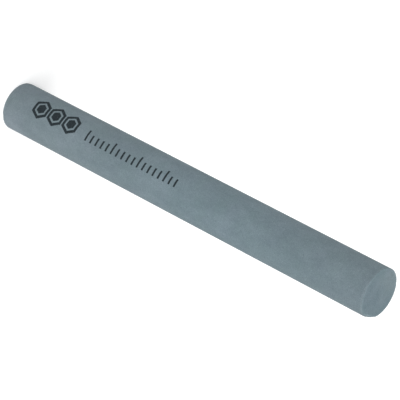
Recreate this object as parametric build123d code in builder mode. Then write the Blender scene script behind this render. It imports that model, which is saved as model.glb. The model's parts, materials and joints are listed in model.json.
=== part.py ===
from build123d import *
import os

# Round abrasive file: one stick of fine silicon carbide grit in a fired bond, used by hand on dies,
# moulds and the insides of bores. It is pressed and fired as one piece, its side is ground true, and
# it has no core, sleeve, tang or handle.
#
# Frame: the stick stands on one end. The origin is the middle of that end face and +Z runs along the
# axis to the other end. Both ends are alike.

# Driving dimensions, in millimetres
FILE_LENGTH = 150.0
FILE_DIAMETER = 16.0

# Both rims are only just broken after grinding, because a sharp rim of this brittle grit would crumble.
RIM_ROUNDING = 0.1

FILE_RADIUS = FILE_DIAMETER / 2


# The stick: its round section, drawn out to full length, with both rims eased by the same radius
with BuildPart() as round_file:
    with BuildSketch(Plane.XY) as section:
        Circle(FILE_RADIUS)
    extrude(amount=FILE_LENGTH)
    rims = round_file.edges().filter_by(GeomType.CIRCLE)
    fillet(rims, radius=RIM_ROUNDING)

round_file.part.label = "round_file"

os.makedirs("parts", exist_ok=True)
export_step(round_file.part, "parts/round_file.step")
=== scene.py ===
"""Looks of a round abrasive file: a plain stick of fine silicon carbide grit, fired in a glassy bond.

The stick stands on its lower end on a white sheet. Its ground side, its rubbed ends, its worn rims and
its stamped marks are made here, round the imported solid, in metres and in the solid's own frame.
"""

from __future__ import annotations

import json
import logging
import math
from dataclasses import dataclass
from enum import Enum
from typing import Mapping, Sequence, Union

import bpy
from mathutils import Color, Matrix, Vector


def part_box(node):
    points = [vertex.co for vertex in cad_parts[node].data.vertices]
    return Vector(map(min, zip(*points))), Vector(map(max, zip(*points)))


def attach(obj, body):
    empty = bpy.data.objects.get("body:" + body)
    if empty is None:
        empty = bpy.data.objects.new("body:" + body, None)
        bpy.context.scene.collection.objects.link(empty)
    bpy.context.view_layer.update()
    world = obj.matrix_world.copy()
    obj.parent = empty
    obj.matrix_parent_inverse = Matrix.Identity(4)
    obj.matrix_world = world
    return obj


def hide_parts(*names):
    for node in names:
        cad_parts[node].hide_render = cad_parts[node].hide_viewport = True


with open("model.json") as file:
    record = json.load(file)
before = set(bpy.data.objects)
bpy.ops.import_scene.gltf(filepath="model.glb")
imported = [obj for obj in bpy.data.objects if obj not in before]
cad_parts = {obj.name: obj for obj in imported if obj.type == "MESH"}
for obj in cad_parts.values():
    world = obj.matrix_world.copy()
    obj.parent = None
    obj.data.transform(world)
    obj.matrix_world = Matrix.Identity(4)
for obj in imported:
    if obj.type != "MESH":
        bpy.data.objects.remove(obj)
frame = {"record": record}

LOG = logging.getLogger("abrasive_file")

MM = 0.001
SIZE_DIGITS = 3
NODE = "round_file"
GROUND_MOUNT = "ground_side"
BODY = "root"
PIECE = "dressed_file"
IMAGE_SIDE_PX = 400.0
SCREEN_WHITE = 255.0
NOISE_MEAN = 0.5

Colour = tuple[float, float, float, float]
Span = tuple[float, float]
Pixel = tuple[float, float]
Feed = Union[float, int, str, bool, Sequence[float], bpy.types.NodeSocket, bpy.types.Material]

WHITE: Colour = (1.0, 1.0, 1.0, 1.0)
RISING: Span = (0.0, 1.0)
FALLING: Span = (1.0, 0.0)


class Sum(Enum):
    """The sums on plain numbers that the node trees use."""

    ADD = "ADD"
    SUBTRACT = "SUBTRACT"
    MULTIPLY = "MULTIPLY"
    DIVIDE = "DIVIDE"
    LEAST = "MINIMUM"
    MOST = "MAXIMUM"
    SINE = "SINE"
    COSINE = "COSINE"
    ANGLE = "ARCTAN2"
    SIZE = "ABSOLUTE"
    NEAREST = "ROUND"
    REST = "FLOORED_MODULO"
    BELOW = "LESS_THAN"
    ABOVE = "GREATER_THAN"


class VectorSum(Enum):
    """The sums on vectors that the node trees use."""

    ADD = "ADD"
    MULTIPLY = "MULTIPLY"
    SCALE = "SCALE"
    LENGTH = "LENGTH"
    DISTANCE = "DISTANCE"
    DOT = "DOT_PRODUCT"


class Blend(Enum):
    """The two ways to put one colour over another."""

    COVER = "MIX"
    TINT = "MULTIPLY"


class Socket(Enum):
    """The kinds of named socket that a group or a tree has."""

    NUMBER = "NodeSocketFloat"
    COUNT = "NodeSocketInt"
    PLACE = "NodeSocketVector"
    SHAPE = "NodeSocketGeometry"
    FINISH = "NodeSocketMaterial"


class Tree(Enum):
    """The two kinds of node tree made here."""

    SHADER = "ShaderNodeTree"
    GEOMETRY = "GeometryNodeTree"


class Kept(Enum):
    """What is kept on the mesh, each with its name, its kind and what carries it."""

    SHEET_PLACE = ("OFBake", "FLOAT2", "CORNER")
    END_FACES = ("end_faces", "BOOLEAN", "FACE")
    FRESH_BREAKS = ("fresh_breaks", "FLOAT", "POINT")

    @property
    def title(self) -> str:
        """The attribute's name."""
        return self.value[0]


class End(Enum):
    """The two ends of the stick, each with the way that its face looks along Z."""

    LOWER = -1.0
    UPPER = 1.0


def linear(red: float, green: float, blue: float) -> Colour:
    """Turns a colour as seen on a screen into the linear one that the shaders take.

    Args:
        red: Red, from 0 to 255.
        green: Green, from 0 to 255.
        blue: Blue, from 0 to 255.

    Returns:
        The linear colour with an alpha of 1.
    """
    seen = Color((red / SCREEN_WHITE, green / SCREEN_WHITE, blue / SCREEN_WHITE))
    return (*seen.from_srgb_to_scene_linear(), 1.0)


def bearing(turn_deg: float, rise_deg: float = 0.0) -> Vector:
    """Gives the direction at a turn round the stick's axis, where 0 is in front and 90 to the right.

    Args:
        turn_deg: The turn.
        rise_deg: How steeply the direction rises.

    Returns:
        The direction, 1 long.
    """
    turn, rise = math.radians(turn_deg), math.radians(rise_deg)
    level = math.cos(rise)
    return Vector((math.sin(turn) * level, -math.cos(turn) * level, math.sin(rise)))


def named_socket(
    sockets: bpy.types.NodeInputs | bpy.types.NodeOutputs, name: str
) -> bpy.types.NodeSocket:
    """Finds a socket by its identifier or, failing that, by its name.

    Args:
        sockets: The inputs or the outputs of a node.
        name: The identifier or the name.

    Returns:
        The first socket that fits.
    """
    exact = [s for s in sockets if s.identifier == name]
    return exact[0] if exact else next(s for s in sockets if s.name == name)


def main_shader(material: bpy.types.Material) -> bpy.types.Node:
    """Returns the Principled shader that a new material comes with."""
    return next(n for n in material.node_tree.nodes if n.type == "BSDF_PRINCIPLED")


@dataclass(frozen=True)
class Pattern:
    """A soft random pattern: how wide its patches are, how fine and strong its layers, and which one."""

    size: float
    detail: float = 2.0
    rough: float = 0.5
    seed: float = 0.0


@dataclass(frozen=True)
class Blotches(Pattern):
    """A soft random pattern whose values across a span are stretched to others, and held there."""

    span: Span = (0.3, 0.7)
    to: Span = RISING
    smooth: bool = False


@dataclass
class Bench:
    """A node tree being built, with short ways to add and join nodes."""

    tree: bpy.types.NodeTree

    def feed(self, socket: bpy.types.NodeSocket, source: Feed) -> None:
        """Links a socket to another, or sets its value.

        Args:
            socket: The input to feed.
            source: An output socket, or a plain value.
        """
        if isinstance(source, bpy.types.NodeSocket):
            self.tree.links.new(source, socket)
        else:
            socket.default_value = source

    def node(
        self, kind: str, feeds: Mapping[str, Feed] | None = None, **settings: str | bool | bpy.types.ID
    ) -> bpy.types.Node:
        """Adds a node.

        Args:
            kind: Blender's name for the kind of node.
            feeds: What goes into its inputs, by their name or identifier.
            **settings: The node's own settings.

        Returns:
            The new node.
        """
        made = self.tree.nodes.new(kind)
        for name, value in settings.items():
            setattr(made, name, value)
        for name, source in (feeds or {}).items():
            self.feed(named_socket(made.inputs, name), source)
        return made

    def sum(self, kind: Sum, *values: Feed) -> bpy.types.NodeSocket:
        """Adds a sum on numbers.

        Args:
            kind: Which sum.
            *values: What goes in. A third value and more are taken in one by one.

        Returns:
            The result's socket.
        """
        made = self.tree.nodes.new("ShaderNodeMath")
        made.operation = kind.value
        for socket, source in zip(made.inputs[:2], values):
            self.feed(socket, source)
        result, rest = made.outputs[0], values[2:]
        return self.sum(kind, result, *rest) if rest else result

    def add(self, *values: Feed) -> bpy.types.NodeSocket:
        """Adds numbers up."""
        return self.sum(Sum.ADD, *values)

    def less(self, first: Feed, second: Feed) -> bpy.types.NodeSocket:
        """Takes the second number from the first."""
        return self.sum(Sum.SUBTRACT, first, second)

    def times(self, *values: Feed) -> bpy.types.NodeSocket:
        """Multiplies numbers."""
        return self.sum(Sum.MULTIPLY, *values)

    def vector_sum(self, kind: VectorSum, *values: Feed) -> bpy.types.NodeSocket:
        """Adds a sum on vectors.

        Args:
            kind: Which sum. SCALE takes a vector and a number.
            *values: What goes in.

        Returns:
            The result's socket.
        """
        made = self.tree.nodes.new("ShaderNodeVectorMath")
        made.operation = kind.value
        targets = [made.inputs[0], made.inputs["Scale"]] if kind is VectorSum.SCALE else made.inputs
        for socket, source in zip(targets, values):
            self.feed(socket, source)
        number = kind in (VectorSum.LENGTH, VectorSum.DISTANCE, VectorSum.DOT)
        return made.outputs["Value" if number else "Vector"]

    def spread(
        self, value: Feed, span: tuple[Feed, Feed], to: tuple[Feed, Feed] = RISING, smooth: bool = False
    ) -> bpy.types.NodeSocket:
        """Maps a number from one range to another, and holds it there.

        Args:
            value: The number.
            span: Where the first range starts and ends.
            to: What those two become.
            smooth: Eases both ends.

        Returns:
            The mapped number's socket.
        """
        (low, high), (first, last) = span, to
        feeds = {"Value": value, "From Min": low, "From Max": high, "To Min": first, "To Max": last}
        way = "SMOOTHSTEP" if smooth else "LINEAR"
        made = self.node("ShaderNodeMapRange", feeds, interpolation_type=way, clamp=True)
        return made.outputs["Result"]

    def noise(
        self, place: Feed, pattern: Pattern, unit: Feed = 1.0, first_seed: Feed = 0.0
    ) -> bpy.types.NodeSocket:
        """Adds a soft random pattern.

        Args:
            place: Coordinates, in millimetres.
            pattern: Which pattern.
            unit: What its size is measured in, in millimetres.
            first_seed: What its seed is counted from.

        Returns:
            The pattern's socket, from 0 to 1 with 0.5 as its mean.
        """
        feeds = {
            "Vector": place,
            "W": self.add(first_seed, pattern.seed),
            "Scale": self.sum(Sum.DIVIDE, 1.0, self.times(unit, pattern.size)),
            "Detail": pattern.detail,
            "Roughness": pattern.rough,
        }
        made = self.node("ShaderNodeTexNoise", feeds, noise_dimensions="4D", normalize=True)
        return named_socket(made.outputs, "Fac")

    def blotches(
        self, place: Feed, pattern: Blotches, unit: Feed = 1.0, first_seed: Feed = 0.0
    ) -> bpy.types.NodeSocket:
        """Adds a soft random pattern and stretches its values.

        Args:
            place: Coordinates, in millimetres.
            pattern: Which pattern, and how it is stretched.
            unit: What its size is measured in, in millimetres.
            first_seed: What its seed is counted from.

        Returns:
            The stretched pattern's socket.
        """
        raw = self.noise(place, pattern, unit, first_seed)
        return self.spread(raw, pattern.span, pattern.to, pattern.smooth)

    def mix(
        self, share: Feed, first: Feed, second: Feed, way: Blend = Blend.COVER
    ) -> bpy.types.NodeSocket:
        """Mixes two colours.

        Args:
            share: How much of the second there is.
            first: The colour at 0.
            second: The colour at 1, or what the first is multiplied by.
            way: Covers the first or tints it.

        Returns:
            The mixed colour's socket.
        """
        feeds = {"Factor_Float": share, "A_Color": first, "B_Color": second}
        made = self.node("ShaderNodeMix", feeds, data_type="RGBA", blend_type=way.value)
        return named_socket(made.outputs, "Result_Color")

    def pick(self, second: Feed, at_no: Feed, at_yes: Feed) -> bpy.types.NodeSocket:
        """Picks one of two numbers.

        Args:
            second: 0 for the first number, 1 for the second.
            at_no: The first number.
            at_yes: The second number.

        Returns:
            The picked number's socket.
        """
        feeds = {"Factor_Float": second, "A_Float": at_no, "B_Float": at_yes}
        return self.node("ShaderNodeMix", feeds).outputs[0]

    def join(self, x: Feed, y: Feed, z: Feed) -> bpy.types.NodeSocket:
        """Joins three numbers into a vector, and returns its socket."""
        return self.node("ShaderNodeCombineXYZ", {"X": x, "Y": y, "Z": z}).outputs[0]

    def split(self, vector: Feed) -> tuple[bpy.types.NodeSocket, ...]:
        """Returns the sockets of a vector's three numbers."""
        return tuple(self.node("ShaderNodeSeparateXYZ", {"Vector": vector}).outputs)

    def keep(self, shape: Feed, kept: Kept, value: Feed) -> bpy.types.NodeSocket:
        """Keeps a value on the mesh.

        Args:
            shape: The mesh.
            kept: What the value is kept as.
            value: The value.

        Returns:
            The socket of the mesh that has it.
        """
        name, kind, domain = kept.value
        feeds = {"Geometry": shape, "Name": name, "Value": value}
        made = self.node("GeometryNodeStoreNamedAttribute", feeds, data_type=kind, domain=domain)
        return made.outputs["Geometry"]

    def use(self, group: Group, **feeds: Feed) -> bpy.types.NodeOutputs:
        """Places a shader group in this tree.

        Args:
            group: The group.
            **feeds: What goes into its named inputs, with _ for each space.

        Returns:
            The outputs of the group's node.
        """
        made = self.node("ShaderNodeGroup", node_tree=group.tree)
        for name, source in feeds.items():
            self.feed(made.inputs[name.replace("_", " ")], source)
        return made.outputs


@dataclass
class Group(Bench):
    """A node group being built, with its named inputs and outputs."""

    inlet: bpy.types.Node
    outlet: bpy.types.Node

    @classmethod
    def start(
        cls, name: str, kind: Tree, inputs: Mapping[str, tuple[Socket, Feed | None]],
        outputs: Mapping[str, Socket],
    ) -> Group:
        """Makes an empty group.

        Args:
            name: Its name.
            kind: A shader group or a geometry tree.
            inputs: Each input's kind and first value, by name.
            outputs: Each output's kind, by name.

        Returns:
            The group, ready for its nodes.
        """
        tree = bpy.data.node_groups.new(name, kind.value)
        for title, (socket, value) in inputs.items():
            made = tree.interface.new_socket(name=title, in_out="INPUT", socket_type=socket.value)
            if value is not None:
                made.default_value = value
        for title, socket in outputs.items():
            tree.interface.new_socket(name=title, in_out="OUTPUT", socket_type=socket.value)
        return cls(tree, tree.nodes.new("NodeGroupInput"), tree.nodes.new("NodeGroupOutput"))

    @classmethod
    def effect(
        cls, name: str, outputs: Sequence[str], numbers: Mapping[str, float | None],
        places: Sequence[str] = ("Place",),
    ) -> Group:
        """Makes an empty shader group that works out numbers for each place on the surface.

        Args:
            name: Its name.
            outputs: The names of the numbers that come out.
            numbers: The names of the numbers that go in, with first values for those that have one.
            places: The names of the places that go in before them.

        Returns:
            The group, ready for its nodes.
        """
        inputs = {title: (Socket.PLACE, None) for title in places}
        inputs |= {title: (Socket.NUMBER, value) for title, value in numbers.items()}
        return cls.start(name, Tree.SHADER, inputs, {title: Socket.NUMBER for title in outputs})

    def given(self, *names: str) -> tuple[bpy.types.NodeSocket, ...]:
        """Returns the sockets that carry the named inputs."""
        return tuple(self.inlet.outputs[name] for name in names)

    def give(self, **sources: Feed) -> None:
        """Sends a value or a socket to each named output."""
        for name, source in sources.items():
            self.feed(self.outlet.inputs[name], source)


@dataclass(frozen=True)
class Stick:
    """The stick's sizes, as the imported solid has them, in metres."""

    radius: float
    length: float
    rim_rounding: float

    @classmethod
    def from_frame(cls) -> Stick:
        """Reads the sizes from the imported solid's box and from the mount on its ground side.

        Returns:
            The sizes. The mount ends where the rims' rounding starts.
        """
        low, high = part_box(NODE)
        length = high.z - low.z
        ground = next(m for m in frame["record"]["mounts"] if m["name"] == GROUND_MOUNT)
        rounding = (length / MM - ground["dims"]["length_mm"]) / 2
        return cls((high.x - low.x) / 2, length, round(rounding, SIZE_DIGITS) * MM)

    def spot(self, end: End, turn_deg: float, out: float) -> Vector:
        """Finds a place level with one of the end faces.

        Args:
            end: Which end.
            turn_deg: The turn round the axis.
            out: The distance from the axis, in millimetres.

        Returns:
            The place, in millimetres.
        """
        place = bearing(turn_deg) * out
        place.z = self.length / MM if end is End.UPPER else 0.0
        return place


def unrolled_side() -> Group:
    """Builds a group that lays the round side out flat, so that marks and wear can be measured on it.

    Returns:
        The group. Round is 0 in front and grows to the right, and Out is the distance from the axis.
    """
    group = Group.effect("unrolled_side", ["Along", "Round", "Out"], {})
    x, y, z = group.split(*group.given("Place"))
    out = group.vector_sum(VectorSum.LENGTH, group.join(x, y, 0.0))
    turn = group.sum(Sum.ANGLE, x, group.less(0.0, y))
    group.give(Along=z, Round=group.times(turn, out), Out=out)
    return group


@dataclass(frozen=True)
class BondedGrain:
    """The grit itself: crushed grains, the glassy bond that shows dark between them with painted shade at
    each grain's edge, and open pores.

    The grain's size is in millimetres, and the other sizes are measured in grains. The shares say how
    much each thing counts in the tone.
    """

    grain_size: float = 0.13
    stir_fineness: float = 1.5
    stir_detail: float = 1.0
    stir_reach: float = 1.1
    clumps: Pattern = Pattern(6.0, detail=3.0, seed=3.0)
    facets: Pattern = Pattern(0.45, seed=9.0)
    holes: Blotches = Blotches(2.4, seed=7.0, span=(0.63, 0.73), smooth=True)
    bond_and_shade_edge: Span = (0.45, 0.85)
    dome_edge: Span = (0.0, 0.75)
    cell_share: float = 0.38
    clump_share: float = 0.27
    facet_share: float = 0.50
    bond_and_shade_share: float = 0.35
    hole_drop: float = 1.6
    glint_above: float = 0.97

    def build(self) -> Group:
        """Builds the group.

        Returns:
            The group. Glint marks the few grains that lie flat enough to shine.
        """
        outputs = ["Tone", "Height", "Pores", "Glint"]
        group = Group.effect("bonded_grain", outputs, {"Grain Size": self.grain_size})
        place, size = group.given("Place", "Grain Size")
        grains = group.node("ShaderNodeTexVoronoi", {
            "Vector": self.stirred(group, place, size), "Scale": group.sum(Sum.DIVIDE, 1.0, size),
        }).outputs
        chance = group.node("ShaderNodeSeparateColor", {"Color": grains["Color"]}).outputs
        # Tone drops towards each grain's edge: partly the dark bond, partly painted shade
        bond = group.spread(grains["Distance"], self.bond_and_shade_edge)
        mixed = group.add(
            group.times(chance["Red"], self.cell_share),
            group.times(group.noise(place, self.clumps, size), self.clump_share),
            group.times(group.noise(place, self.facets, size), self.facet_share),
        )
        dome = group.spread(grains["Distance"], self.dome_edge, FALLING)
        pores = group.blotches(place, self.holes, size)
        group.give(
            Tone=group.less(mixed, group.times(bond, self.bond_and_shade_share)),
            Height=group.less(dome, group.times(pores, self.hole_drop)),
            Pores=pores,
            Glint=group.sum(Sum.ABOVE, chance["Green"], self.glint_above),
        )
        return group

    def stirred(self, group: Group, place: Feed, size: Feed) -> bpy.types.NodeSocket:
        """Shifts each place a little at random, so that the grains look crushed.

        Args:
            group: The group being built.
            place: Coordinates, in millimetres.
            size: The grain's size, in millimetres.

        Returns:
            The shifted coordinates.
        """
        scale = group.sum(Sum.DIVIDE, self.stir_fineness, size)
        feeds = {"Vector": place, "Scale": scale, "Detail": self.stir_detail}
        stir = group.node("ShaderNodeTexNoise", feeds).outputs["Color"]
        stir = group.vector_sum(VectorSum.ADD, stir, (-NOISE_MEAN,) * 3)
        stir = group.vector_sum(VectorSum.SCALE, stir, group.times(size, self.stir_reach))
        return group.vector_sum(VectorSum.ADD, place, stir)


@dataclass(frozen=True)
class FiringMottle:
    """The soft patches that pressing and firing leave, in tone and in hue.

    They are measured in patches, whose size each finish gives. Stretch draws them out along the stick.
    """

    stretch: tuple[float, float, float] = (1.0, 1.0, 0.6)
    patches: Pattern = Pattern(1.0, detail=4.0, rough=0.62)
    slow: Pattern = Pattern(4.5, detail=1.0, seed=5.0)
    hues: Blotches = Blotches(1.7, seed=11.0, span=(0.32, 0.68))
    patch_share: float = 0.62
    slow_share: float = 0.38
    tone_span: Span = (0.36, 0.64)

    def build(self) -> Group:
        """Builds the group.

        Returns:
            The group.
        """
        group = Group.effect("firing_mottle", ["Tone", "Hue"], {"Patch Size": None, "Seed": None})
        place, size, seed = group.given("Place", "Patch Size", "Seed")
        stretched = group.vector_sum(VectorSum.MULTIPLY, place, self.stretch)
        both = group.add(
            group.times(group.noise(stretched, self.patches, size, seed), self.patch_share),
            group.times(group.noise(stretched, self.slow, size, seed), self.slow_share),
        )
        hue = group.blotches(place, self.hues, size, seed)
        group.give(Tone=group.spread(both, self.tone_span), Hue=hue)
        return group


@dataclass(frozen=True)
class RimWearAndHighlight:
    """The pale band by both rims, partly wear from rubbing and partly a painted highlight, and the pale
    fresh breaks, in millimetres.

    The band's middle is counted from the rim along the side, so below 0 it lies on the end's face.
    """

    middle: float = -0.05
    reach: float = 1.0
    core_share: float = 0.1
    uneven: Blotches = Blotches(1.6, detail=3.0, seed=21.0, to=(0.7, 1.3))
    patchy: Blotches = Blotches(5.5, detail=1.0, seed=76.0, span=(0.36, 0.60), to=(0.15, 1.0))
    held: Blotches = Blotches(0.7, seed=23.0, span=(0.36, 0.56), to=(0.5, 1.0))

    def build(self, side: Group) -> Group:
        """Builds the group.

        Args:
            side: The group that lays the side out flat.

        Returns:
            The group.
        """
        group = Group.effect("rim_wear_and_highlight", ["Worn"], {
            "Radius": None, "Length": None, "Middle": self.middle, "Reach": self.reach, "Broken": None,
        })
        place, radius, length, middle, reach, broken = group.given(
            "Place", "Radius", "Length", "Middle", "Reach", "Broken"
        )
        flat = group.use(side, Place=place)
        inward = group.sum(Sum.LEAST, flat["Along"], group.less(length, flat["Along"]))
        path = group.less(inward, group.less(radius, flat["Out"]))
        apart = group.sum(Sum.SIZE, group.less(path, middle))
        reach = group.times(reach, group.blotches(place, self.uneven))
        band = group.spread(apart, (reach, group.times(reach, self.core_share)), smooth=True)
        held = group.blotches(place, self.held)
        # The rubbed band is partly rim wear and partly a painted highlight along the rims
        rubbed = group.times(band, group.blotches(place, self.patchy), held)
        group.give(Worn=group.sum(Sum.MOST, rubbed, group.times(broken, held)))
        return group


@dataclass(frozen=True)
class SettledDust:
    """Soft pale patches with an uneven edge, painted on as highlights, in millimetres."""

    uneven: Blotches = Blotches(4.0, detail=3.0, seed=41.0, to=(-2.0, 2.0))

    def build(self) -> Group:
        """Builds the group.

        Returns:
            The group.
        """
        group = Group.effect("settled_dust", ["Dust"], {"Reach": None}, places=["Place", "Middle"])
        place, middle, reach = group.given("Place", "Middle", "Reach")
        apart = group.vector_sum(VectorSum.DISTANCE, place, middle)
        apart = group.add(apart, group.blotches(place, self.uneven))
        group.give(Dust=group.spread(apart, (reach, 0.0), smooth=True))
        return group


@dataclass(frozen=True)
class HandWarmth:
    """The slightly warmer tone that handling leaves towards both ends of the side, in millimetres."""

    lower_reach: float = 80.0
    upper_reach: float = 45.0
    upper_share: float = 0.5
    uneven: Blotches = Blotches(4.0, detail=3.0, seed=43.0, to=(-3.0, 3.0))

    def build(self, side: Group) -> Group:
        """Builds the group.

        Args:
            side: The group that lays the side out flat.

        Returns:
            The group.
        """
        group = Group.effect("hand_warmth", ["Warmth"], {
            "Length": None, "Lower Reach": self.lower_reach, "Upper Reach": self.upper_reach,
            "Upper Share": self.upper_share,
        })
        place, length, lower_reach, upper_reach, upper_share = group.given(
            "Place", "Length", "Lower Reach", "Upper Reach", "Upper Share"
        )
        along = group.add(group.use(side, Place=place)["Along"], group.blotches(place, self.uneven))
        lower = group.spread(along, (lower_reach, 0.0))
        upper = group.spread(group.less(length, along), (upper_reach, 0.0), (0.0, upper_share))
        group.give(Warmth=group.sum(Sum.MOST, lower, upper))
        return group


@dataclass(frozen=True)
class MarkRow:
    """Where the marks of a row along the side lie, in millimetres."""

    first: float
    pitch: float
    count: int

    def nearest(self, group: Group, along: Feed) -> tuple[bpy.types.NodeSocket, bpy.types.NodeSocket]:
        """Finds the mark that is nearest to a place.

        Args:
            group: The group to draw in.
            along: Millimetres along the stick.

        Returns:
            The mark's number in the row, from 0, and how far off its middle the place is.
        """
        numbers = (0.0, self.count - 1.0)
        steps = group.sum(Sum.DIVIDE, group.less(along, self.first), self.pitch)
        which = group.spread(group.sum(Sum.NEAREST, steps), numbers, numbers)
        middle = group.add(group.times(which, self.pitch), self.first)
        return which, group.sum(Sum.SIZE, group.less(along, middle))


@dataclass(frozen=True)
class GrainRow:
    """Three six-sided grains in a row, each a ring round a solid middle, in millimetres on the side."""

    start: float = 11.2
    middle: float = -2.35
    width: float = 6.2
    gap: float = 0.45
    grains: int = 3
    ring: float = 0.95
    ring_gap: float = 0.6
    slant_deg: float = 30.0

    def draw(self, group: Group, along: Feed, around: Feed) -> bpy.types.NodeSocket:
        """Measures how far a place is from the nearest line of ink.

        Args:
            group: The group to draw in.
            along: Millimetres along the stick.
            around: Millimetres round it.

        Returns:
            The distance, below 0 where there is ink.
        """
        half, slant = self.width / 2, math.radians(self.slant_deg)
        _, run = MarkRow(self.start + half, self.width + self.gap, self.grains).nearest(group, along)
        rise = group.sum(Sum.SIZE, group.less(around, self.middle))
        slanted = group.add(group.times(rise, math.cos(slant)), group.times(run, math.sin(slant)))
        out = group.sum(Sum.MOST, run, slanted)
        from_ring = group.sum(Sum.SIZE, group.less(out, half - self.ring / 2))
        core = group.less(out, half - self.ring - self.ring_gap)
        return group.sum(Sum.LEAST, group.less(from_ring, self.ring / 2), core)


@dataclass(frozen=True)
class WearScale:
    """A plain row of strokes along the side, with every fifth one longer, in millimetres."""

    start: float = 35.6
    middle: float = -1.65
    pitch: float = 2.25
    strokes: int = 18
    every: int = 5
    stroke_width: float = 0.7
    short: float = 2.7
    tall: float = 3.9

    def draw(self, group: Group, along: Feed, around: Feed) -> bpy.types.NodeSocket:
        """Measures how far a place is from the nearest stroke's edge.

        Args:
            group: The group to draw in.
            along: Millimetres along the stick.
            around: Millimetres round it.

        Returns:
            The distance, below 0 inside a stroke.
        """
        which, run = MarkRow(self.start, self.pitch, self.strokes).nearest(group, along)
        # What is left over is a whole number, so it is below a half only where it is 0
        longer = group.sum(Sum.BELOW, group.sum(Sum.REST, which, float(self.every)), 1 / 2)
        half = group.pick(longer, self.short / 2, self.tall / 2)
        foot = group.add(self.middle, group.less(self.tall / 2, half))
        rise = group.sum(Sum.SIZE, group.less(around, foot))
        return group.sum(Sum.MOST, group.less(run, self.stroke_width / 2), group.less(rise, half))


@dataclass(frozen=True)
class StampedMarks:
    """The ink: the marks it forms, how far it bleeds, and how thin it is over the pores."""

    grains: GrainRow = GrainRow()
    scale: WearScale = WearScale()
    bleed: float = 0.09
    starved: float = 0.3
    creep: Blotches = Blotches(0.32, seed=31.0, span=(0.2, 0.8), to=(-1.0, 1.0))
    gaps: Blotches = Blotches(0.26, seed=33.0, span=(0.56, 0.70), smooth=True)

    def build(self, side: Group) -> Group:
        """Builds the group.

        Args:
            side: The group that lays the side out flat.

        Returns:
            The group.
        """
        group = Group.effect("stamped_marks", ["Ink"], {"Bleed": self.bleed, "Starved": self.starved})
        place, bleed, starved = group.given("Place", "Bleed", "Starved")
        flat = group.use(side, Place=place)
        drawn = (mark.draw(group, flat["Along"], flat["Round"]) for mark in (self.grains, self.scale))
        edge = group.add(
            group.sum(Sum.LEAST, *drawn), group.times(group.blotches(place, self.creep), bleed)
        )
        inked = group.spread(edge, (bleed, group.less(0.0, bleed)), smooth=True)
        thin = group.less(1.0, group.times(group.blotches(place, self.gaps), starved))
        group.give(Ink=group.times(inked, thin))
        return group


@dataclass(frozen=True)
class Effects:
    """The effects that the finishes use, each built once."""

    grain: Group
    mottle: Group
    rims: Group
    dust: Group
    warmth: Group
    marks: Group

    @classmethod
    def make(cls) -> Effects:
        """Builds every group.

        Returns:
            The groups.
        """
        side = unrolled_side()
        return cls(
            grain=BondedGrain().build(),
            mottle=FiringMottle().build(),
            rims=RimWearAndHighlight().build(side),
            dust=SettledDust().build(),
            warmth=HandWarmth().build(side),
            marks=StampedMarks().build(side),
        )


@dataclass(frozen=True)
class DustPatch:
    """A soft pale patch, a painted highlight, with its sizes in millimetres and its tint over the bare
    grit.
    """

    end: End
    turn_deg: float
    out: float
    reach: float
    tint: Colour


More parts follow.
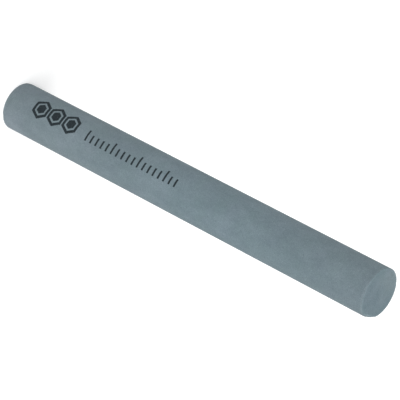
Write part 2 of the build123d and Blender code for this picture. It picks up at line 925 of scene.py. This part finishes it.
@dataclass(frozen=True)
class GritFinish:
    """The bonded grit, as one surface of the stick shows it.

    Dark, light and green are the colours of its patches, whose size is in millimetres. The two spans say
    between which tones of grain the speckle and the gloss run.
    """

    name: str
    dark: Colour
    light: Colour
    green: Colour
    patch_size: float
    patch_seed: float
    hue_share: float
    grain_share: float
    bump: float
    stamped: bool
    dust: DustPatch
    tone_span: Span = (0.15, 0.85)
    pore_painted_shade: float = 0.24
    painted_glint_gain: float = 0.16
    rub_and_highlight_tint: Colour = (1.26, 1.24, 1.22, 1.0)
    warmed_by: Colour = (1.07, 1.0, 0.985, 1.0)
    ink: Colour = linear(27, 35, 39)
    gloss_span: Span = (0.2, 0.8)
    roughness: Span = (0.74, 0.9)
    glint_gloss: float = 0.45
    ink_gloss: float = 0.12
    bump_height: float = 0.03 * MM
    shine: float = 0.12
    diffuse_roughness: float = 0.2

    def shade(self, effects: Effects, stick: Stick) -> bpy.types.Material:
        """Makes the material.

        Args:
            effects: The groups that the finishes use.
            stick: The stick's sizes.

        Returns:
            The material.
        """
        material = bpy.data.materials.new(self.name)
        material.use_nodes = True
        bench, shader = Bench(material.node_tree), main_shader(material)
        metres = bench.node("ShaderNodeTexCoord").outputs["Object"]
        scaled = bench.node("ShaderNodeMapping", {"Vector": metres, "Scale": (1 / MM,) * 3})
        place = scaled.outputs["Vector"]
        grain = bench.use(effects.grain, Place=place)
        colour = self.grit(bench, effects, place, grain)
        colour = self.worn(bench, effects, stick, place, colour)
        rough = bench.spread(grain["Tone"], self.gloss_span, self.roughness)
        rough = bench.less(rough, bench.times(grain["Glint"], self.glint_gloss))
        if self.stamped:
            warmth = bench.use(effects.warmth, Place=place, Length=stick.length / MM)["Warmth"]
            colour = bench.mix(warmth, colour, self.warmed_by, Blend.TINT)
            ink = bench.use(effects.marks, Place=place)["Ink"]
            colour = bench.mix(ink, colour, self.ink)
            rough = bench.less(rough, bench.times(ink, self.ink_gloss))
        feeds = {"Strength": self.bump, "Distance": self.bump_height, "Height": grain["Height"]}
        bump = bench.node("ShaderNodeBump", feeds)
        bench.feed(shader.inputs["Base Color"], colour)
        bench.feed(shader.inputs["Roughness"], rough)
        bench.feed(shader.inputs["Normal"], bump.outputs["Normal"])
        shader.inputs["Specular IOR Level"].default_value = self.shine
        shader.inputs["Diffuse Roughness"].default_value = self.diffuse_roughness
        return material

    def grit(
        self, bench: Bench, effects: Effects, place: Feed, grain: bpy.types.NodeOutputs
    ) -> bpy.types.NodeSocket:
        """Mixes the colour of the bare grit, with painted shade in its pores and painted glints on a few
        grains.

        Args:
            bench: The material's tree.
            effects: The groups that the finishes use.
            place: Coordinates, in millimetres.
            grain: The outputs of the grain group.

        Returns:
            The colour's socket.
        """
        mottle = bench.use(effects.mottle, Place=place, Patch_Size=self.patch_size, Seed=self.patch_seed)
        colour = bench.mix(mottle["Tone"], self.dark, self.light)
        colour = bench.mix(bench.times(mottle["Hue"], self.hue_share), colour, self.green)
        contrast = (1.0 - self.grain_share, 1.0 + self.grain_share)
        speck = bench.spread(grain["Tone"], self.tone_span, contrast)
        # Pores are painted darker: painted shade in the pits, besides their lowered height in the bump
        painted_pore_shade = bench.less(1.0, bench.times(grain["Pores"], self.pore_painted_shade))
        # A few grains are painted brighter: a painted glint, on top of their lower roughness in the gloss
        painted_glint = bench.add(1.0, bench.times(grain["Glint"], self.painted_glint_gain))
        speck = bench.times(speck, painted_pore_shade, painted_glint)
        grey = bench.node("ShaderNodeCombineColor", {"Red": speck, "Green": speck, "Blue": speck})
        return bench.mix(1.0, colour, grey.outputs["Color"], Blend.TINT)

    def worn(
        self, bench: Bench, effects: Effects, stick: Stick, place: Feed, colour: Feed
    ) -> bpy.types.NodeSocket:
        """Rubs the rims pale, partly as wear and partly as a painted highlight, and lays on the painted
        highlight patch.

        Args:
            bench: The material's tree.
            effects: The groups that the finishes use.
            stick: The stick's sizes.
            place: Coordinates, in millimetres.
            colour: The colour of the bare grit.

        Returns:
            The socket of the colour with its wear and painted highlights.
        """
        broken = bench.node("ShaderNodeAttribute", attribute_name=Kept.FRESH_BREAKS.title).outputs["Fac"]
        worn = bench.use(
            effects.rims, Place=place, Broken=broken, Radius=stick.radius / MM, Length=stick.length / MM
        )["Worn"]
        # Pale rims and pale breaks: wear, with part of the rim band a painted highlight
        colour = bench.mix(worn, colour, self.rub_and_highlight_tint, Blend.TINT)
        # A pale patch near one end is painted on: a painted highlight
        middle = tuple(stick.spot(self.dust.end, self.dust.turn_deg, self.dust.out))
        dust = bench.use(effects.dust, Place=place, Middle=middle, Reach=self.dust.reach)["Dust"]
        return bench.mix(dust, colour, self.dust.tint, Blend.TINT)


GROUND_SIDE = GritFinish(
    name="ground_side",
    dark=linear(92.5, 106.4, 113.5),
    light=linear(104.5, 118.4, 125.5),
    green=linear(96.5, 115.4, 116.5),
    patch_size=3.2,
    patch_seed=105.5,
    hue_share=0.35,
    grain_share=0.22,
    bump=0.5,
    stamped=True,
    # Pale patch at the lower end of the side: a painted highlight
    dust=DustPatch(End.LOWER, turn_deg=85.0, out=8.0, reach=12.5, tint=(1.25, 1.19, 1.22, 1.0)),
)
RUBBED_END = GritFinish(
    name="rubbed_end",
    dark=linear(98, 114, 122),
    light=linear(112, 126, 134),
    green=linear(102, 122, 125),
    patch_size=4.5,
    patch_seed=5.0,
    hue_share=0.45,
    grain_share=0.18,
    bump=0.35,
    stamped=False,
    # Paler, warmer patch on the upper face: a painted highlight
    dust=DustPatch(End.UPPER, turn_deg=240.0, out=6.0, reach=9.0, tint=(1.17, 1.11, 1.08, 1.0)),
)


@dataclass(frozen=True)
class Chip:
    """A small ragged flat where a knock has broken the rim, in degrees and millimetres.

    The break's raggedness is a share of its depth, up to the most that it may be.
    """

    end: End
    turn_deg: float
    depth: float
    tilt_deg: float = 35.0
    rough_share: float = 0.35
    most_rough: float = 0.17
    ragged: Blotches = Blotches(1.3, detail=3.0, rough=0.6, seed=51.0, span=(0.25, 0.75), to=(-1.0, 1.0))

    def outward(self) -> Vector:
        """Returns the way that the broken face looks."""
        return bearing(self.turn_deg, self.tilt_deg * self.end.value)

    def cut(self, group: Group, place: Feed, stick: Stick) -> bpy.types.NodeSocket:
        """Measures how far a place stands out of the broken face.

        Args:
            group: The tree being built.
            place: Coordinates, in millimetres.
            stick: The stick's sizes.

        Returns:
            The distance in millimetres, or 0 inside it.
        """
        corner = stick.spot(self.end, self.turn_deg, stick.radius / MM - self.depth)
        outward = self.outward()
        reach = group.vector_sum(VectorSum.DOT, place, tuple(outward))
        rough = min(self.rough_share * self.depth, self.most_rough)
        grit = group.times(group.blotches(place, self.ragged), rough)
        over = group.less(group.add(reach, grit), corner.dot(outward))
        return group.sum(Sum.MOST, over, 0.0)


@dataclass(frozen=True)
class BakeSheet:
    """Where the surface lies on a flat square sheet: the side in two halves, with both ends above them.

    The sizes are in metres. A gap runs along the sheet's edges and between what lies on it.
    """

    radius: float
    half_length: float
    gap: float = 1.0 * MM

    @property
    def girth(self) -> float:
        """Once round the stick."""
        return math.tau * self.radius

    @property
    def edge(self) -> float:
        """The sheet's width."""
        return 2 * self.girth + 3 * self.gap

    def lay(
        self, group: Group, upper: Feed, on_end: Feed, turn: Feed, path: Feed, out: Feed
    ) -> bpy.types.NodeSocket:
        """Works out each corner's place on the sheet.

        Args:
            group: The tree being built.
            upper: 1 on the faces of the upper half.
            on_end: 1 on the faces of an end.
            turn: The angle round the stick, from 0 to a full turn.
            path: The way from the nearer rim, in metres.
            out: The distance from the axis, in metres.

        Returns:
            The place's socket, from 0 to 1 each way.
        """
        gap, half, radius = self.gap, self.half_length, self.radius
        left = group.pick(upper, gap, 2 * gap + self.girth)
        side_x = group.add(left, group.times(turn, radius))
        side_y = group.add(group.pick(upper, path, group.less(half, path)), gap)
        middle = group.pick(upper, gap + radius, 2 * gap + 3 * radius)
        end_x = group.add(middle, group.times(out, group.sum(Sum.SINE, turn)))
        ahead = group.times(out, group.sum(Sum.COSINE, turn), group.pick(upper, 1.0, -1.0))
        end_y = group.add(ahead, 2 * gap + half + radius)
        spot = group.join(group.pick(on_end, side_x, end_x), group.pick(on_end, side_y, end_y), 0.0)
        return group.vector_sum(VectorSum.SCALE, spot, 1 / self.edge)


@dataclass(frozen=True)
class StickBlank:
    """The stick's surface: turned from its half section, with fine relief, worn rims and a few chips.

    The rows of faces are counted from the middle of an end to the middle of the side, and the depths
    of what is worn off are in millimetres.
    """

    stick: Stick
    around: int = 236
    rows_on_side: int = 150
    rows_on_rim: int = 5
    rows_by_rim: int = 18
    rows_on_face: int = 8
    by_rim: float = 2.0 * MM
    merge_within: float = 0.001 * MM
    seed: float = 4.0
    waviness: float = 0.012
    relief: float = 0.006
    crumble: float = 0.05
    slow: Blotches = Blotches(14.0, detail=1.0, span=(0.2, 0.8))
    fine: Blotches = Blotches(0.55, rough=0.6, span=(0.2, 0.8))
    crumbs: Blotches = Blotches(0.8, span=(0.46, 0.74), smooth=True)
    rim_zone: Span = (0.5, 0.05)
    fresh_edge: Span = (0.0, 0.06)
    chips: tuple[Chip, ...] = (
        Chip(End.UPPER, turn_deg=97.0, depth=1.0, tilt_deg=40.0),
        Chip(End.LOWER, turn_deg=42.0, depth=0.17),
        Chip(End.LOWER, turn_deg=92.0, depth=0.10),
        Chip(End.LOWER, turn_deg=272.0, depth=0.28, tilt_deg=20.0),
    )

    def build(self, side: bpy.types.Material, end: bpy.types.Material) -> bpy.types.Object:
        """Makes the stick as a plain mesh.

        Args:
            side: The finish of the ground side.
            end: The finish of both ends.

        Returns:
            The finished piece.
        """
        inputs = self.inputs(side, end)
        tree = self.tree(inputs)
        host = bpy.data.objects.new("stick_blank", bpy.data.meshes.new("stick_blank"))
        bpy.context.scene.collection.objects.link(host)
        modifier = host.modifiers.new("turned_stick", "NODES")
        modifier.node_group = tree
        for item in tree.interface.items_tree:
            if item.in_out == "INPUT" and item.name in inputs:
                modifier[item.identifier] = inputs[item.name][1]
        graph = bpy.context.evaluated_depsgraph_get()
        mesh = bpy.data.meshes.new_from_object(
            host.evaluated_get(graph), preserve_all_data_layers=True, depsgraph=graph
        )
        host.modifiers.clear()
        bpy.data.objects.remove(host)
        mesh.name = PIECE
        mesh.attributes.remove(mesh.attributes[Kept.END_FACES.title])
        piece = bpy.data.objects.new(PIECE, mesh)
        bpy.context.scene.collection.objects.link(piece)
        return piece

    def inputs(
        self, side: bpy.types.Material, end: bpy.types.Material
    ) -> dict[str, tuple[Socket, Feed]]:
        """Lists the tree's named inputs.

        Args:
            side: The finish of the ground side.
            end: The finish of both ends.

        Returns:
            Each input's kind and value, by name.
        """
        number, count = Socket.NUMBER, Socket.COUNT
        return {
            "Radius": (number, self.stick.radius),
            "Length": (number, self.stick.length),
            "Rim Rounding": (number, self.stick.rim_rounding),
            "By Rim": (number, self.by_rim),
            "Cells Around": (count, self.around),
            "Rows On Side": (count, self.rows_on_side),
            "Rows On Rim": (count, self.rows_on_rim),
            "Rows By Rim": (count, self.rows_by_rim),
            "Rows On Face": (count, self.rows_on_face),
            "Waviness": (number, self.waviness),
            "Relief": (number, self.relief),
            "Crumble": (number, self.crumble),
            "Seed": (number, self.seed),
            "Side Finish": (Socket.FINISH, side),
            "End Finish": (Socket.FINISH, end),
        }

    def tree(self, inputs: Mapping[str, tuple[Socket, Feed]]) -> bpy.types.NodeTree:
        """Builds the geometry tree.

        Args:
            inputs: Each named input's kind and value.

        Returns:
            The tree.
        """
        group = Group.start(
            "turned_stick", Tree.GEOMETRY,
            {"Geometry": (Socket.SHAPE, None), **inputs}, {"Geometry": Socket.SHAPE},
        )
        shape = self.turned(group)
        shape = self.weathered(group, shape)
        group.give(Geometry=self.dressed(group, shape))
        return group.tree

    def turned(self, group: Group) -> bpy.types.NodeSocket:
        """Turns the half section, with both rims rounded, into a closed surface.

        A flat grid, 1 wide each way about its middle, is rolled up. Its columns run round the stick, and
        its rows run from the middle of the lower end to the middle of the upper one, closest by the rims.

        Args:
            group: The tree being built.

        Returns:
            The closed surface, with its place on the bake sheet.
        """
        radius, length, rounding, by_rim, around = group.given(
            "Radius", "Length", "Rim Rounding", "By Rim", "Cells Around"
        )
        side, rim, near, face = group.given("Rows On Side", "Rows On Rim", "Rows By Rim", "Rows On Face")
        inner = group.add(face, near)
        outer = group.add(inner, rim)
        wall = group.add(outer, near)
        half = group.add(wall, side)
        rows = group.add(half, half)
        grid = group.node("GeometryNodeMeshGrid", {
            "Size X": 1.0, "Size Y": 1.0,
            "Vertices X": group.add(around, 1.0), "Vertices Y": group.add(rows, 1.0),
        })
        x, y, _ = group.split(group.node("GeometryNodeInputPosition").outputs[0])
        turn = group.times(group.add(x, 1 / 2), math.tau)
        row = group.times(group.add(y, 1 / 2), rows)
        mirrored = group.sum(Sum.LEAST, row, group.less(rows, row))

        margin = group.add(rounding, by_rim)
        core, shaft = group.less(radius, margin), group.less(group.times(length, 1 / 2), margin)
        flat = group.add(
            group.spread(mirrored, (0.0, face), (0.0, core)),
            group.spread(mirrored, (face, inner), (0.0, by_rim)),
        )
        bend = group.spread(mirrored, (inner, outer), (0.0, math.pi / 2))
        up = group.add(
            group.spread(mirrored, (outer, wall), (0.0, by_rim)),
            group.spread(mirrored, (wall, half), (0.0, shaft)),
        )
        out = group.add(flat, group.times(rounding, group.sum(Sum.SINE, bend)))
        dip = group.times(rounding, group.less(1.0, group.sum(Sum.COSINE, bend)))
        rise = group.add(dip, up)
        height = group.pick(group.sum(Sum.ABOVE, row, half), rise, group.less(length, rise))

        face_row = group.node("GeometryNodeFieldOnDomain", {"Value": row}, domain="FACE").outputs[0]
        upper = group.sum(Sum.ABOVE, face_row, half)
        on_end = group.sum(Sum.BELOW, group.sum(Sum.LEAST, face_row, group.less(rows, face_row)), inner)
        sheet = BakeSheet(self.stick.radius, self.stick.length / 2)
        path = group.add(group.times(rounding, bend), up)
        laid = sheet.lay(group, upper, on_end, turn, path, out)
        shape = group.keep(grid.outputs["Mesh"], Kept.SHEET_PLACE, laid)
        shape = group.keep(shape, Kept.END_FACES, on_end)
        place = group.join(
            group.times(out, group.sum(Sum.SINE, turn)),
            group.times(out, group.sum(Sum.COSINE, turn), -1.0),
            height,
        )
        rolled = group.node("GeometryNodeSetPosition", {"Geometry": shape, "Position": place}).outputs[0]
        feeds = {"Geometry": rolled, "Distance": self.merge_within}
        return group.node("GeometryNodeMergeByDistance", feeds).outputs[0]

    def weathered(self, group: Group, shape: Feed) -> bpy.types.NodeSocket:
        """Takes off the slow waviness, the fine relief, the crumbled rims and the chips.

        Nothing is added, so the surface stays inside the solid and above the floor.

        Args:
            group: The tree being built.
            shape: The smooth surface.

        Returns:
            The same surface with its relief, and with its fresh breaks marked.
        """
        radius, length, seed, waviness, relief, crumble = group.given(
            "Radius", "Length", "Seed", "Waviness", "Relief", "Crumble"
        )
        metres = group.node("GeometryNodeInputPosition").outputs[0]
        place = group.vector_sum(VectorSum.SCALE, metres, 1 / MM)
        x, y, z = group.split(place)
        out = group.vector_sum(VectorSum.LENGTH, group.join(x, y, 0.0))
        across = group.less(group.sum(Sum.DIVIDE, radius, MM), out)
        inward = group.sum(Sum.LEAST, z, group.less(group.sum(Sum.DIVIDE, length, MM), z))
        from_rim = group.vector_sum(VectorSum.LENGTH, group.join(across, inward, 0.0))
        at_rim = group.spread(from_rim, self.rim_zone, smooth=True)
        slow, fine, crumbs = (
            group.blotches(place, kind, first_seed=seed) for kind in (self.slow, self.fine, self.crumbs)
        )
        lost = group.add(
            group.times(slow, waviness), group.times(fine, relief), group.times(at_rim, crumbs, crumble)
        )
        normal = group.node("GeometryNodeInputNormal").outputs["Normal"]
        moved = group.vector_sum(VectorSum.SCALE, normal, group.times(lost, -MM))
        fresh: Feed = 0.0
        for chip in self.chips:
            over = chip.cut(group, place, self.stick)
            back = group.vector_sum(VectorSum.SCALE, tuple(chip.outward() * -MM), over)
            moved = group.vector_sum(VectorSum.ADD, moved, back)
            fresh = group.sum(Sum.MOST, fresh, group.spread(over, self.fresh_edge))
        marked = group.keep(shape, Kept.FRESH_BREAKS, fresh)
        return group.node("GeometryNodeSetPosition", {"Geometry": marked, "Offset": moved}).outputs[0]

    def dressed(self, group: Group, shape: Feed) -> bpy.types.NodeSocket:
        """Smooths the shading and puts the finishes on.

        Args:
            group: The tree being built.
            shape: The surface.

        Returns:
            The dressed surface.
        """
        side, end = group.given("Side Finish", "End Finish")
        smooth = group.node("GeometryNodeSetShadeSmooth", {"Geometry": shape}).outputs[0]
        real = group.node("GeometryNodeRealizeInstances", {"Geometry": smooth}).outputs[0]
        on_end = group.node(
            "GeometryNodeInputNamedAttribute", {"Name": Kept.END_FACES.title}, data_type="BOOLEAN"
        ).outputs["Attribute"]
        sided = group.node("GeometryNodeSetMaterial", {"Geometry": real, "Material": side}).outputs[0]
        feeds = {"Geometry": sided, "Selection": on_end, "Material": end}
        return group.node("GeometryNodeSetMaterial", feeds).outputs[0]


@dataclass(frozen=True)
class Camera:
    """The camera, worked out from where the two ends' middles lie in the picture.

    Nearer By is how far off the upper end is, as a share of the lower end's distance.
    """

    lower_end_px: Pixel = (20.78, 106.21)
    upper_end_px: Pixel = (379.28, 293.36)
    nearer_by: float = 0.89139
    focal_px: float = 2398.3
    sensor_mm: float = 36.0
    clip: Span = (0.01, 50.0)

    def place(self, stick: Stick) -> None:
        """Puts the camera where both ends of the stick fall on their pixels.

        Args:
            stick: The stick's sizes.
        """
        lower, upper = (self.ray(pixel) for pixel in (self.lower_end_px, self.upper_end_px))
        depth = stick.length / (self.nearer_by * upper - lower).length
        foot = depth * lower
        along = (depth * self.nearer_by * upper - foot).normalized()
        towards = -foot - (-foot).dot(along) * along
        back = -towards.normalized()
        right = back.cross(along)
        to_stick = Matrix((right, back, along))
        data = bpy.data.cameras.new("photo_camera")
        data.sensor_width = self.sensor_mm
        data.lens = self.focal_px / IMAGE_SIDE_PX * self.sensor_mm
        data.clip_start, data.clip_end = self.clip
        camera = bpy.data.objects.new("photo_camera", data)
        y_up_z_back = Matrix.Diagonal((1, -1, -1))
        camera.matrix_world = Matrix.Translation(to_stick @ -foot) @ (to_stick @ y_up_z_back).to_4x4()
        bpy.context.scene.collection.objects.link(camera)
        bpy.context.scene.camera = camera

    def ray(self, pixel: Pixel) -> Vector:
        """Gives the direction of a pixel, with x to the right, y down and z forward at 1."""
        middle = IMAGE_SIDE_PX / 2
        return Vector(((pixel[0] - middle) / self.focal_px, (pixel[1] - middle) / self.focal_px, 1.0))


@dataclass(frozen=True)
class Panel:
    """One large soft lamp, so far off that it lights the whole floor alike."""

    name: str
    turn_deg: float
    rise_deg: float
    spread_deg: float
    power: float

    def hang(self) -> None:
        """Adds the lamp."""
        data = bpy.data.lights.new(self.name, "SUN")
        data.energy = self.power
        data.angle = math.radians(self.spread_deg)
        lamp = bpy.data.objects.new(self.name, data)
        source = bearing(self.turn_deg, self.rise_deg)
        lamp.matrix_world = source.to_track_quat("Z", "Y").to_matrix().to_4x4()
        bpy.context.scene.collection.objects.link(lamp)


@dataclass(frozen=True)
class Studio:
    """The white sheet that the stick stands on, the even light all round and the soft lamps."""

    sheet_radius: float = 6.0
    sheet_corners: int = 96
    sheet_grey: float = 0.95
    sheet_roughness: float = 0.9
    sheet_shine: float = 0.1
    sheet_glow: float = 0.16
    tent_light: float = 0.71
    backdrop_light: float = 1.1
    panels: tuple[Panel, ...] = (
        Panel("front_panel", turn_deg=0.0, rise_deg=35.0, spread_deg=60.0, power=1.25),
        Panel("right_panel", turn_deg=66.0, rise_deg=35.0, spread_deg=60.0, power=1.38),
    )

    def build(self) -> None:
        """Sets the colour management, the sheet, the surrounding light and the lamps."""
        settings = bpy.context.scene.view_settings
        settings.view_transform = "Standard"
        settings.look = "None"
        self.lay_sheet()
        self.light_tent()
        for panel in self.panels:
            panel.hang()

    def lay_sheet(self) -> None:
        """Lays the round white sheet under the stick, faintly lit from below like a light table."""
        bpy.ops.mesh.primitive_circle_add(
            vertices=self.sheet_corners, radius=self.sheet_radius, fill_type="NGON"
        )
        sheet = bpy.context.object
        sheet.name = "white_sheet"
        material = bpy.data.materials.new("white_sheet")
        material.use_nodes = True
        looks = {
            "Base Color": (self.sheet_grey,) * 3 + (1.0,),
            "Roughness": self.sheet_roughness,
            "Specular IOR Level": self.sheet_shine,
            "Emission Color": WHITE,
            "Emission Strength": self.sheet_glow,
        }
        for name, value in looks.items():
            main_shader(material).inputs[name].default_value = value
        sheet.data.materials.append(material)

    def light_tent(self) -> None:
        """Surrounds the stick with even light, and shows a plain white backdrop past the sheet."""
        world = bpy.data.worlds.new("light_tent")
        world.use_nodes = True
        bpy.context.scene.world = world
        bench = Bench(world.node_tree)
        world.node_tree.nodes.clear()
        seen = bench.node("ShaderNodeLightPath").outputs["Is Camera Ray"]
        strength = bench.pick(seen, self.tent_light, self.backdrop_light)
        light = bench.node("ShaderNodeBackground", {"Color": WHITE, "Strength": strength})
        bench.node("ShaderNodeOutputWorld", {"Surface": light.outputs[0]})


@dataclass(frozen=True)
class AbrasiveFile:
    """The whole object: the blank with its finishes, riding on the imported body."""

    stick: Stick

    def build(self) -> bpy.types.Object:
        """Builds the stick and puts it in the place of the solid.

        Returns:
            The finished piece.
        """
        effects = Effects.make()
        side, end = (finish.shade(effects, self.stick) for finish in (GROUND_SIDE, RUBBED_END))
        piece = StickBlank(self.stick).build(side, end)
        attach(piece, BODY)
        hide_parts(NODE)
        return piece


def main() -> None:
    """Builds the stick, the studio and the camera."""
    logging.basicConfig(level=logging.INFO, format="%(name)s: %(message)s")
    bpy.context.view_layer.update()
    stick = Stick.from_frame()
    piece = AbrasiveFile(stick).build()
    LOG.info("%s: %d faces on body %s", piece.name, len(piece.data.polygons), BODY)
    Studio().build()
    LOG.info("white_sheet and light: studio")
    Camera().place(stick)


if __name__ == "__main__":
    main()
